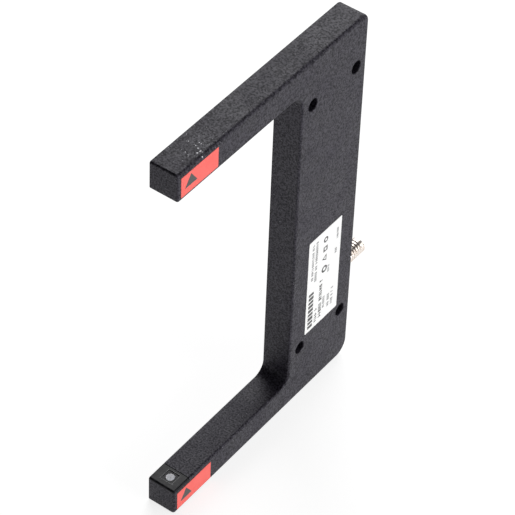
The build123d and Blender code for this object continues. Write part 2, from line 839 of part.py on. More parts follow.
def make_beam_label(arm, name):
    """Coloured label near the tip, on the label face."""
    inner_z, way = arm
    label_y = tip_y + beam_label_to_tip + beam_label_length / 2
    label_z = inner_z + way * arm_height / 2 - beam_label_below_middle
    with BuildPart() as label:
        with BuildSketch(Plane.YZ.offset(body_thickness)):
            with Locations((label_y, label_z)):
                RectangleRounded(beam_label_length, beam_label_height, beam_label_corner)
        extrude(amount=label_thickness)
    finish(label, name)


make_beam_label(lower_arm, "transmitter_label")
make_beam_label(upper_arm, "receiver_label")
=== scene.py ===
"""Looks of a wide one-beam fork sensor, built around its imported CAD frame.

Lengths are in metres, in the row frame: X out of the label face, Y out of the back face along
the connector, Z up the spine, with the fork open towards -Y.
"""
import logging
import math
import random
from collections.abc import Callable, Iterable
from dataclasses import dataclass, field
from enum import Enum

import bmesh
import bpy
from mathutils import Matrix, Vector


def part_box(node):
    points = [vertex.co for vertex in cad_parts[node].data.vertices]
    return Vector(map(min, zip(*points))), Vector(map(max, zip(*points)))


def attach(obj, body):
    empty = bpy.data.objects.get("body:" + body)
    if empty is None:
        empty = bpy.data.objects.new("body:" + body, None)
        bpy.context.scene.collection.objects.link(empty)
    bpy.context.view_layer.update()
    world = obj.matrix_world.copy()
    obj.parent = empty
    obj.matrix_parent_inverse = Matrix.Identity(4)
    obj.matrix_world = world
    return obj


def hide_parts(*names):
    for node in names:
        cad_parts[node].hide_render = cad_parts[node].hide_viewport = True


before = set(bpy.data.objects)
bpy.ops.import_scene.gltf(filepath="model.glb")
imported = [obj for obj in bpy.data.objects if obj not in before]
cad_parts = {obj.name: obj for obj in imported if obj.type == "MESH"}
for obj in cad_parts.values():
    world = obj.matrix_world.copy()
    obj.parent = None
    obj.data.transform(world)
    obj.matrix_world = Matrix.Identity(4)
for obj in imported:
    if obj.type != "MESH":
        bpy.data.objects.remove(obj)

MM = 0.001
Socket = bpy.types.NodeSocket
Colour = tuple[float, float, float]
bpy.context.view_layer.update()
TURNED_IN_X: Colour = (14.0, 1.0, 1.0)

logging.basicConfig(level=logging.INFO, format="%(message)s")
log = logging.getLogger("fork_sensor")


class Body(Enum):
    """The rigid bodies that pieces ride on."""

    SENSOR = "sensor"
    TRIMMER = "sensitivity_trimmer"
    SELECTOR = "mode_selector"


class Side(Enum):
    """Which arm a piece belongs to, and the way from its inner face into the arm."""

    TRANSMITTER = -1
    RECEIVER = 1


def rgba(colour: Colour) -> tuple[float, float, float, float]:
    """Add an opaque alpha to a colour."""
    return (*colour, 1.0)


def clamp(value: float) -> float:
    """Keep a value between 0 and 1."""
    return min(max(value, 0.0), 1.0)


# ---------------------------------------------------------------- node graphs
class Graph:
    """A material's node tree, with short calls for the nodes that the finishes share."""

    def __init__(self, name: str) -> None:
        """Start a material that holds one Principled shader.

        Args:
            name: The material's name.
        """
        self.material = bpy.data.materials.new(name)
        self.material.use_nodes = True
        self.tree = self.material.node_tree
        self.shader = self.tree.nodes["Principled BSDF"]
        self.place = self.tree.nodes.new("ShaderNodeTexCoord").outputs["Object"]

    def node(
        self, kind: str, inputs: dict[str | int, object] | None = None, **settings: object
    ) -> bpy.types.Node:
        """Add a node, set its options and fill its inputs.

        Args:
            kind: The node's type name.
            inputs: Values or sockets, by input name or number.
            **settings: Options of the node itself.

        Returns:
            The new node.
        """
        made = self.tree.nodes.new(kind)
        for option, value in settings.items():
            setattr(made, option, value)
        for key, value in (inputs or {}).items():
            self.fill(made.inputs[key], value)
        return made

    def fill(self, target: Socket, value: object) -> None:
        """Link a socket to an input, or write a plain value on it.

        Args:
            target: The input.
            value: A socket or a plain value.
        """
        if isinstance(value, bpy.types.NodeSocket):
            self.tree.links.new(value, target)
        else:
            target.default_value = value

    def noise(self, size: float, detail: float = 2.0, stretch: Colour = (1.0, 1.0, 1.0)) -> Socket:
        """Cloudy noise.

        Args:
            size: Length of one feature.
            detail: How much finer noise rides on it.
            stretch: How much denser the noise is along each axis.

        Returns:
            The noise value, from 0 to 1.
        """
        mapped = self.node("ShaderNodeMapping", {"Vector": self.place, "Scale": stretch})
        wanted = {"Vector": mapped.outputs[0], "Scale": 1.0 / size, "Detail": detail}
        return self.node("ShaderNodeTexNoise", wanted).outputs["Fac"]

    def cells(self, size: float, randomness: float = 1.0) -> Socket:
        """Distance to the nearest of many scattered points.

        Args:
            size: Spacing of the points.
            randomness: How far the points leave a regular grid.

        Returns:
            The distance, in units of size.
        """
        wanted = {"Vector": self.place, "Scale": 1.0 / size, "Randomness": randomness}
        return self.node("ShaderNodeTexVoronoi", wanted).outputs["Distance"]

    def sum(self, operation: str, first: object, second: object = 0.5) -> Socket:
        """One sum.

        Args:
            operation: A Math node's operation.
            first: A socket or a number.
            second: A socket or a number.

        Returns:
            The result.
        """
        return self.node("ShaderNodeMath", {0: first, 1: second}, operation=operation).outputs[0]

    def band(
        self, value: Socket, low: float, high: float, start: float = 0.0, end: float = 1.0
    ) -> Socket:
        """Carry a range of values to another, clamped.

        Args:
            value: What to carry.
            low: The value that becomes start.
            high: The value that becomes end.
            start: Result at low.
            end: Result at high.

        Returns:
            The carried value.
        """
        wanted = {"Value": value, "From Min": low, "From Max": high, "To Min": start, "To Max": end}
        return self.node("ShaderNodeMapRange", wanted).outputs["Result"]

    def mix(self, factor: Socket, first: object, second: object) -> Socket:
        """Mix two colours.

        Args:
            factor: Share of the second.
            first: A colour or a socket.
            second: A colour or a socket.

        Returns:
            The mixed colour.
        """
        made = self.node("ShaderNodeMix", {0: factor}, data_type="RGBA")
        for key, value in ((6, first), (7, second)):
            self.fill(made.inputs[key], rgba(value) if isinstance(value, tuple) else value)
        return made.outputs[2]

    def near(self, centre: Vector, reach: float) -> Socket:
        """How near the surface is to a point.

        Args:
            centre: The point.
            reach: Where the value falls to 0.

        Returns:
            1 at the point, 0 from reach on.
        """
        away = self.node("ShaderNodeVectorMath", {0: self.place, 1: centre}, operation="DISTANCE")
        return self.band(away.outputs["Value"], 0.0, reach, 1.0, 0.0)

    def edges(self, radius: float) -> Socket:
        """Find sharp edges.

        Args:
            radius: How far from the edge the mask reaches.

        Returns:
            0 on the faces, rising to 1 at the edges.
        """
        rounded = self.node("ShaderNodeBevel", {"Radius": radius}, samples=4).outputs[0]
        flat = self.tree.nodes.new("ShaderNodeNewGeometry").outputs["Normal"]
        same = self.node("ShaderNodeVectorMath", {0: rounded, 1: flat}, operation="DOT_PRODUCT")
        return self.band(same.outputs["Value"], 0.995, 0.8)

    def bump(
        self, height: Socket, depth: float, strength: float = 1.0, under: Socket | None = None
    ) -> Socket:
        """Turn a height into a surface normal.

        Args:
            height: The height, from 0 to 1.
            depth: Real height of 1.
            strength: Share of the effect.
            under: A normal that this one builds on.

        Returns:
            The bumped normal.
        """
        wanted = {"Height": height, "Distance": depth, "Strength": strength}
        if under is not None:
            wanted["Normal"] = under
        return self.node("ShaderNodeBump", wanted).outputs[0]

    def shade(self, **inputs: object) -> bpy.types.Material:
        """Fill the shader's inputs and close the material.

        Args:
            **inputs: Sockets or values, by input name with _ for a space.

        Returns:
            The finished material.
        """
        for key, value in inputs.items():
            wanted = rgba(value) if isinstance(value, tuple) and len(value) == 3 else value
            self.fill(self.shader.inputs[key.replace("_", " ")], wanted)
        return self.material


# ---------------------------------------------------------------- finishes
@dataclass(frozen=True)
class PowderCoat:
    """Matt powder coat with a fine grain, faint mottling, and bright flecks of dust."""

    name: str
    dark: Colour = (0.0040, 0.0034, 0.0062)
    light: Colour = (0.0300, 0.0270, 0.0380)
    edge: Colour = (0.055, 0.052, 0.060)
    fleck: Colour = (0.80, 0.80, 0.84)
    glint: Colour = (0.94, 0.93, 1.0)
    roughness: float = 0.50
    sheen: float = 0.255
    sheen_range: float = 0.12
    grain_size: float = 0.85 * MM
    grain_depth: float = 0.08 * MM
    grain_share: float = 0.7
    cloud_size: float = 14 * MM
    cloud_share: float = 0.5
    relief_size: float = 1.3 * MM
    wear_radius: float = 0.25 * MM
    wear_size: float = 1.1 * MM
    fleck_spacing: float = 1.4 * MM
    fleck_gap: float = 1.6 * MM
    patch_size: float = 9 * MM
    dust_centre: Vector = field(default_factory=lambda: Vector((0.0, 0.0, 0.0)))
    dust_core: float = 0.010
    core_gain: float = 0.16
    dust_reach: float = 0.024
    reach_gain: float = 0.12

    def build(self) -> bpy.types.Material:
        """Make the material."""
        g = Graph(self.name)
        grain = g.noise(self.grain_size, detail=3.0)
        cloud = g.noise(self.cloud_size, detail=3.0)
        fine = g.band(grain, 0.38, 0.62)
        fine_part = g.sum("MULTIPLY", fine, self.grain_share)
        cloud_part = g.sum("MULTIPLY", cloud, self.cloud_share)
        mottle = g.band(g.sum("ADD", fine_part, cloud_part), 0.2, 0.9)
        tone = g.mix(mottle, self.dark, self.light)
        uneven = g.band(g.noise(self.wear_size), 0.42, 0.62, 0.15, 0.8)
        worn = g.sum("MULTIPLY", g.edges(self.wear_radius), uneven)
        tone = g.mix(worn, tone, self.edge)
        size = g.band(g.noise(self.patch_size), 0.45, 0.75, 0.020, 0.080)
        for reach, gain in ((self.dust_reach, self.reach_gain), (self.dust_core, self.core_gain)):
            gathered = g.sum("MULTIPLY", g.near(self.dust_centre, reach), gain)
            size = g.sum("ADD", size, gathered)
        flecks = g.sum("LESS_THAN", g.cells(self.fleck_spacing), size)
        flecks = g.sum("MULTIPLY", flecks, g.band(g.noise(self.fleck_gap), 0.44, 0.58))
        tone = g.mix(flecks, tone, self.fleck)
        rough = g.band(cloud, 0.3, 0.7, self.roughness - 0.05, self.roughness + 0.06)
        normal = g.bump(g.noise(self.relief_size, detail=1.0), self.grain_depth, 0.25)
        normal = g.bump(grain, self.grain_depth, 0.9, normal)
        dull, bright = self.sheen - self.sheen_range, self.sheen + self.sheen_range
        shine = g.band(grain, 0.38, 0.62, dull, bright)
        g.shade(Specular_IOR_Level=shine, Specular_Tint=self.glint)
        return g.shade(Base_Color=tone, Roughness=rough, Normal=normal)


@dataclass(frozen=True)
class FilterPlastic:
    """Polished dark plastic that passes the beam, with handling haze and fine scratches."""

    name: str
    colour: Colour = (0.006, 0.006, 0.008)
    haze: Colour = (0.022, 0.021, 0.025)
    gloss: float = 0.34
    sheen: float = 0.18

    def build(self) -> bpy.types.Material:
        """Make the material."""
        g = Graph(self.name)
        smear = g.band(g.noise(2.6 * MM, detail=4.0), 0.45, 0.8)
        scratches = g.band(g.noise(0.25 * MM, detail=1.0, stretch=(1.0, 0.06, 1.0)), 0.62, 0.72)
        tone = g.mix(g.sum("MAXIMUM", smear, g.sum("MULTIPLY", scratches, 0.5)), self.colour, self.haze)
        rough = g.band(smear, 0.0, 1.0, self.gloss, self.gloss + 0.2)
        normal = g.bump(g.noise(0.5 * MM), 0.004 * MM, 0.5)
        return g.shade(Base_Color=tone, Roughness=rough, Normal=normal, Specular_IOR_Level=self.sheen)


@dataclass(frozen=True)
class FrostedLens:
    """Frosted disc with a darker centre, where the emitter or the diode sits behind it."""

    name: str
    centre: Vector
    rim: Colour = (0.34, 0.33, 0.37)
    heart: Colour = (0.15, 0.145, 0.165)

    def build(self) -> bpy.types.Material:
        """Make the material."""
        g = Graph(self.name)
        inside = g.band(g.near(self.centre, 2.3 * MM), 0.15, 0.85)
        mottle = g.noise(0.55 * MM, detail=4.0)
        share = g.sum("MULTIPLY", inside, g.band(mottle, 0.35, 0.62))
        tone = g.mix(share, self.rim, self.heart)
        rough = g.band(mottle, 0.3, 0.7, 0.22, 0.42)
        normal = g.bump(mottle, 0.02 * MM, 0.4)
        g.shade(Subsurface_Weight=0.15, Coat_Weight=0.4)
        return g.shade(Base_Color=tone, Roughness=rough, Normal=normal)


@dataclass(frozen=True)
class PrintedFilm:
    """Label film: one printed colour, a faint fibre, and a soft sheen."""

    name: str
    colour: Colour
    shadow: Colour
    roughness: float = 0.38

    def build(self) -> bpy.types.Material:
        """Make the material."""
        g = Graph(self.name)
        cloud = g.noise(6 * MM, detail=4.0)
        speck = g.band(g.noise(0.35 * MM, detail=2.0), 0.60, 0.78)
        soft = g.band(cloud, 0.45, 0.85, 0.0, 0.5)
        share = g.sum("MAXIMUM", soft, g.sum("MULTIPLY", speck, 0.4))
        tone = g.mix(share, self.colour, self.shadow)
        rough = g.band(cloud, 0.3, 0.7, self.roughness, self.roughness + 0.12)
        normal = g.bump(g.noise(1.5 * MM, detail=3.0), 0.01 * MM, 0.4)
        return g.shade(Base_Color=tone, Roughness=rough, Normal=normal)


@dataclass(frozen=True)
class Ink:
    """Thin printed ink, a little uneven."""

    name: str
    colour: Colour
    thin: Colour

    def build(self) -> bpy.types.Material:
        """Make the material."""
        g = Graph(self.name)
        patchy = g.band(g.noise(0.4 * MM, detail=3.0), 0.4, 0.75)
        tone = g.mix(patchy, self.colour, self.thin)
        normal = g.bump(patchy, 0.003 * MM, 0.3)
        return g.shade(Base_Color=tone, Roughness=g.band(patchy, 0.0, 1.0, 0.4, 0.6), Normal=normal)


@dataclass(frozen=True)
class PlatedMetal:
    """Turned and plated metal, with fine lines round its axis and a duller film in places."""

    name: str
    colour: Colour
    tarnish: Colour
    roughness: float = 0.2
    lines: Colour = (1.0, 14.0, 1.0)

    def build(self) -> bpy.types.Material:
        """Make the material."""
        g = Graph(self.name)
        film = g.band(g.noise(1.8 * MM, detail=4.0), 0.42, 0.75)
        turned = g.noise(1.2 * MM, detail=2.0, stretch=self.lines)
        tone = g.mix(film, self.colour, self.tarnish)
        rough = g.band(g.sum("ADD", film, turned), 0.4, 1.4, self.roughness, self.roughness + 0.2)
        normal = g.bump(turned, 0.006 * MM, 0.5)
        return g.shade(Base_Color=tone, Roughness=rough, Normal=normal, Metallic=1.0)


@dataclass(frozen=True)
class Moulding:
    """Moulded plastic or rubber with a fine spark-eroded grain."""

    name: str
    colour: Colour
    tint: Colour
    roughness: float = 0.45
    grain_size: float = 0.3 * MM
    grain_depth: float = 0.012 * MM
    glow: float = 0.0

    def build(self) -> bpy.types.Material:
        """Make the material."""
        g = Graph(self.name)
        grain = g.noise(self.grain_size, detail=2.0)
        cloud = g.noise(4 * MM, detail=3.0)
        tone = g.mix(g.band(g.sum("ADD", grain, cloud), 0.7, 1.35), self.colour, self.tint)
        rough = g.band(cloud, 0.3, 0.7, self.roughness, self.roughness + 0.1)
        g.shade(Base_Color=tone, Roughness=rough, Normal=g.bump(grain, self.grain_depth, 0.5))
        if self.glow:
            g.shade(Transmission_Weight=self.glow, IOR=1.5)
        return g.material


@dataclass(frozen=True)
class Laminate:
    """Circuit board: solder mask over copper tracks that show as a faint relief."""

    name: str
    colour: Colour = (0.02, 0.14, 0.05)
    copper: Colour = (0.05, 0.24, 0.09)

    def build(self) -> bpy.types.Material:
        """Make the material."""
        g = Graph(self.name)
        across = g.band(g.noise(3 * MM, detail=0.0, stretch=(1.0, 6.0, 0.5)), 0.50, 0.54)
        along = g.band(g.noise(3 * MM, detail=0.0, stretch=(1.0, 0.5, 6.0)), 0.52, 0.56)
        tracks = g.sum("MAXIMUM", across, along)
        tone = g.mix(tracks, self.colour, self.copper)
        normal = g.bump(tracks, 0.03 * MM, 0.8)
        return g.shade(Base_Color=tone, Roughness=g.band(tracks, 0.0, 1.0, 0.32, 0.25), Normal=normal)


# ---------------------------------------------------------------- mesh helpers
def new_piece(name: str, builder: bmesh.types.BMesh, smooth_under: float = 35.0) -> bpy.types.Object:
    """Turn a finished bmesh into an object.

    Args:
        name: The piece's name.
        builder: The mesh; it is freed.
        smooth_under: Edges that turn by more degrees than this stay sharp.

    Returns:
        The new object, at the origin.
    """
    bmesh.ops.recalc_face_normals(builder, faces=builder.faces)
    mesh = bpy.data.meshes.new(name)
    builder.to_mesh(mesh)
    builder.free()
    mesh.shade_smooth()
    mesh.set_sharp_from_angle(angle=math.radians(smooth_under))
    piece = bpy.data.objects.new(name, mesh)
    bpy.context.scene.collection.objects.link(piece)
    return piece


def place_piece(
    piece: bpy.types.Object, material: bpy.types.Material, body: Body = Body.SENSOR
) -> bpy.types.Object:
    """Dress a piece and let it ride.

    Args:
        piece: The piece.
        material: Its material.
        body: The body it moves with.

    Returns:
        The same piece.
    """
    piece.data.materials.append(material)
    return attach(piece, body.value)


def dress(names: Iterable[str], material: bpy.types.Material) -> None:
    """Give CAD nodes a material.

    Args:
        names: The nodes.
        material: The material for all of them.
    """
    for name in names:
        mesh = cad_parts[name].data
        mesh.materials.clear()
        mesh.materials.append(material)
        log.info("dressed %s in %s", name, material.name)


def middle(node: str) -> Vector:
    """The middle of a CAD node's box."""
    low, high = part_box(node)
    return (low + high) / 2


def add_prism(builder: bmesh.types.BMesh, outline: list[Vector], lift: Vector) -> None:
    """Add a closed prism to a mesh.

    Args:
        builder: The mesh.
        outline: The base's corners, in order.
        lift: From the base to the top.
    """
    base = [builder.verts.new(point) for point in outline]
    top = [builder.verts.new(point + lift) for point in outline]
    builder.faces.new(list(reversed(base)))
    builder.faces.new(top)
    for i, corner in enumerate(base):
        following = (i + 1) % len(base)
        builder.faces.new((corner, base[following], top[following], top[i]))


# ---------------------------------------------------------------- sub-assemblies
@dataclass
class Shell:
    """The die-cast housing, its cover, gasket and screws."""

    dust_from_tip: float = 15.5 * MM
    dust_across: float = 0.66

    def dust_centre(self) -> Vector:
        """Where handling dust gathers, on the upper arm's outer face near its tip."""
        low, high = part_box("housing")
        return Vector((low.x + self.dust_across * (high.x - low.x), low.y + self.dust_from_tip, high.z))

    def build(self) -> None:
        """Dress the shell's CAD nodes."""
        dust = self.dust_centre()
        dress(["housing"], PowderCoat("black_powder_coat", dust_centre=dust).build())
        paler = (0.026, 0.024, 0.033)
        cover = PowderCoat("cover_powder_coat", light=paler, roughness=0.54, dust_centre=dust)
        dress(["side_cover"], cover.build())
        steel = PlatedMetal("screw_steel", (0.56, 0.56, 0.58), (0.36, 0.35, 0.35), 0.28, TURNED_IN_X)
        dress(["cover_screws", "board_screws"], steel.build())
        rubber = Moulding("seal_rubber", (0.012, 0.012, 0.013), (0.028, 0.028, 0.029), 0.6)
        dress(["cover_gasket", "adjuster_seals", "connector_o_ring"], rubber.build())


@dataclass
class OpticalHead:
    """The window, lens and square bezel at one tip."""

    side: Side
    bezel_width: float = 0.32 * MM
    bezel_proud: float = 0.05 * MM
    bezel_round: float = 0.10 * MM
    recess_half: float = 3.35 * MM

    @property
    def label(self) -> str:
        """The arm's name, as the nodes carry it."""
        return self.side.name.lower()

    def face_z(self) -> float:
        """Height of the window's outer face."""
        low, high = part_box(f"{self.label}_window")
        return high.z if self.side is Side.TRANSMITTER else low.z

    def bezel(self, material: bpy.types.Material) -> None:
        """Build the rounded square lip round the recess.

        Args:
            material: The bezel's material.
        """
        lens = middle(f"{self.label}_lens")
        way = -self.side.value
        builder = bmesh.new()
        outer = self.recess_half + self.bezel_width / 2
        inner = self.recess_half - self.bezel_width / 2
        sunk = self.face_z() - way * self.bezel_width
        proud = self.face_z() + way * self.bezel_proud
        rings = ((outer, sunk), (outer, proud), (inner, proud), (inner, sunk))
        corners = ((-1, -1), (1, -1), (1, 1), (-1, 1))
        rows = [
            [builder.verts.new((lens.x + a * half, lens.y + b * half, height)) for a, b in corners]
            for half, height in rings
        ]
        for i, row in enumerate(rows):
            following = rows[(i + 1) % len(rows)]
            for j in range(4):
                k = (j + 1) % 4
                builder.faces.new((row[j], row[k], following[k], following[j]))
        piece = new_piece(f"{self.label}_bezel", builder)
        rounding = piece.modifiers.new("rounding", "BEVEL")
        rounding.width = self.bezel_round
        rounding.segments = 3
        place_piece(piece, material)

    def build(self, window: bpy.types.Material, bezel: bpy.types.Material) -> None:
        """Dress the head's nodes and add its bezel.

        Args:
            window: The window's material.
            bezel: The bezel's material.
        """
        dress([f"{self.label}_window"], window)
        low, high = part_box(f"{self.label}_lens")
        front = (low + high) / 2
        front.z = high.z if self.side is Side.TRANSMITTER else low.z
        dress([f"{self.label}_lens"], FrostedLens(f"{self.label}_lens_frost", front).build())
        self.bezel(bezel)


@dataclass
class BeamLabel:
    """The dark triangle printed on a beam label."""

    side: Side
    width: float = 8.3 * MM
    height: float = 6.0 * MM
    from_end: float = 6.6 * MM
    ink_height: float = 0.02 * MM
    raise_share: float = 0.09

    def build(self, film: bpy.types.Material, ink: bpy.types.Material) -> None:
        """Dress the label and print its triangle.

        Args:
            film: The label's material.
            ink: The triangle's material.
        """
        name = f"{self.side.name.lower()}_label"
        dress([name], film)
        low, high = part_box(name)
        y = low.y + self.from_end
        z = (low.z + high.z) / 2 + self.raise_share * (high.z - low.z)
        half_wide, half_tall = self.width / 2, self.height / 2
        corners = ((-half_wide, -half_tall), (half_wide, -half_tall), (0.0, half_tall))
        outline = [Vector((high.x, y + a, z + b)) for a, b in corners]
        builder = bmesh.new()
        add_prism(builder, outline, Vector((self.ink_height, 0, 0)))
        place_piece(new_piece(f"{self.side.name.lower()}_beam_mark", builder), ink)


@dataclass(frozen=True)
class PrintRow:
    """One row of marks on the rating label, as shares of the label's width and height."""

    across: float
    start: float
    end: float
    tall: float
    bold: bool


@dataclass
class RatingLabel:
    """The white label with rows of generic marks that stand for its print."""

    ink_height: float = 0.015 * MM
    seed: int = 7
    bold_bars: int = 9
    bold_gap: float = 0.8 * MM
    bold_width: float = 3.8 * MM
    symbol_bore: float = 0.5
    symbol_places: tuple[tuple[float, int, float], ...] = (
        (0.57, 24, 2.1 * MM),
        (0.69, 3, 2.3 * MM),
        (0.79, 4, 2.2 * MM),
        (0.89, 24, 1.7 * MM),
    )
    rows: tuple[PrintRow, ...] = (
        PrintRow(0.270, 0.050, 0.190, 2.0 * MM, True),
        PrintRow(0.395, 0.060, 0.470, 2.3 * MM, True),
        PrintRow(0.520, 0.130, 0.250, 1.6 * MM, False),
        PrintRow(0.660, 0.100, 0.240, 1.7 * MM, False),
        PrintRow(0.780, 0.090, 0.280, 1.7 * MM, False),
        PrintRow(0.110, 0.560, 0.930, 1.5 * MM, False),
        PrintRow(0.215, 0.520, 0.960, 1.7 * MM, False),
        PrintRow(0.620, 0.500, 0.570, 1.5 * MM, False),
        PrintRow(0.830, 0.640, 0.700, 1.5 * MM, False),
        PrintRow(0.860, 0.790, 0.900, 1.4 * MM, False),
    )

    def spot(self, across: float, along: float) -> Vector:
        """A point on the label.

        Args:
            across: Share of the width, from the fork side.
            along: Share of the height, from the lower end.

        Returns:
            The point, on the label's outer face.
        """
        low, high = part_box("rating_label")
        return Vector((high.x, low.y + across * (high.y - low.y), low.z + along * (high.z - low.z)))

    def bar(self, builder: bmesh.types.BMesh, corner: Vector, wide: float, tall: float) -> None:
        """Print one filled rectangle.

        Args:
            builder: The print's mesh.
            corner: Its corner of least Y and Z.
            wide: Its size along Y.
            tall: Its size along Z.
        """
        steps = ((0, 0), (wide, 0), (wide, tall), (0, tall))
        outline = [corner + Vector((0, a, b)) for a, b in steps]
        add_prism(builder, outline, Vector((self.ink_height, 0, 0)))

    def small_print(self, row: PrintRow, dice: random.Random) -> bmesh.types.BMesh:
        """Marks of one row, which run up the label.

        Args:
            row: The row.
            dice: The source of the marks' lengths.

        Returns:
            The row's mesh.
        """
        builder = bmesh.new()
        low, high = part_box("rating_label")
        length = high.z - low.z
        along = row.start * length
        while along < row.end * length:
            mark = row.tall * dice.uniform(0.35, 0.75)
            corner = self.spot(row.across, 0.0) + Vector((0, 0, along))
            stroke = row.tall * 0.24
            shape = dice.randrange(4)
            self.bar(builder, corner, row.tall, stroke)
            if shape != 0:
                self.bar(builder, corner + Vector((0, 0, mark - stroke)), row.tall, stroke)
            if shape != 1:
                shift = row.tall * dice.uniform(0.0, 0.8)
                self.bar(builder, corner + Vector((0, shift, 0)), stroke, mark)
            gap = 0.9 if dice.random() < 0.16 else 0.22
            along += mark + row.tall * gap
        return builder

    def symbols(self) -> bmesh.types.BMesh:
        """Plain outline symbols up the label: two rings, a triangle and a square."""
        builder = bmesh.new()
        for along, corners, size in self.symbol_places:
            centre = self.spot(0.52, along)
            turn = math.pi / corners
            for i in range(corners):
                first, second = (2 * math.pi * k / corners + turn for k in (i, i + 1))
                bore = size * self.symbol_bore
                places = ((size, first), (size, second), (bore, second), (bore, first))
                outline = [
                    centre + Vector((0, radius * math.cos(angle), radius * math.sin(angle)))
                    for radius, angle in places
                ]
                add_prism(builder, outline, Vector((self.ink_height, 0, 0)))
        return builder

    def heading(self, dice: random.Random) -> bmesh.types.BMesh:
        """A bold row of bars along the fork side.

        Args:
            dice: The source of the bars' widths.

        Returns:
            The heading's mesh.
        """
        builder = bmesh.new()
        low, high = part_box("rating_label")
        length = high.z - low.z
        along = 0.035 * length
        for _ in range(self.bold_bars):
            tall = dice.uniform(1.6, 2.3) * MM
            self.bar(builder, self.spot(0.07, 0.0) + Vector((0, 0, along)), self.bold_width, tall)
            along += tall + self.bold_gap
        return builder

    def build(
        self, film: bpy.types.Material, dark: bpy.types.Material, pale: bpy.types.Material
    ) -> None:
        """Dress the label and print on it.

        Args:
            film: The label's material.
            dark: Ink of the bold marks.
            pale: Ink of the small marks.
        """
        dress(["rating_label"], film)
        dice = random.Random(self.seed)
        place_piece(new_piece("rating_heading", self.heading(dice)), dark)
        for i, row in enumerate(self.rows):
            marks = new_piece(f"rating_row_{i + 1}", self.small_print(row, dice))
            place_piece(marks, dark if row.bold else pale)
        place_piece(new_piece("rating_symbols", self.symbols()), dark)


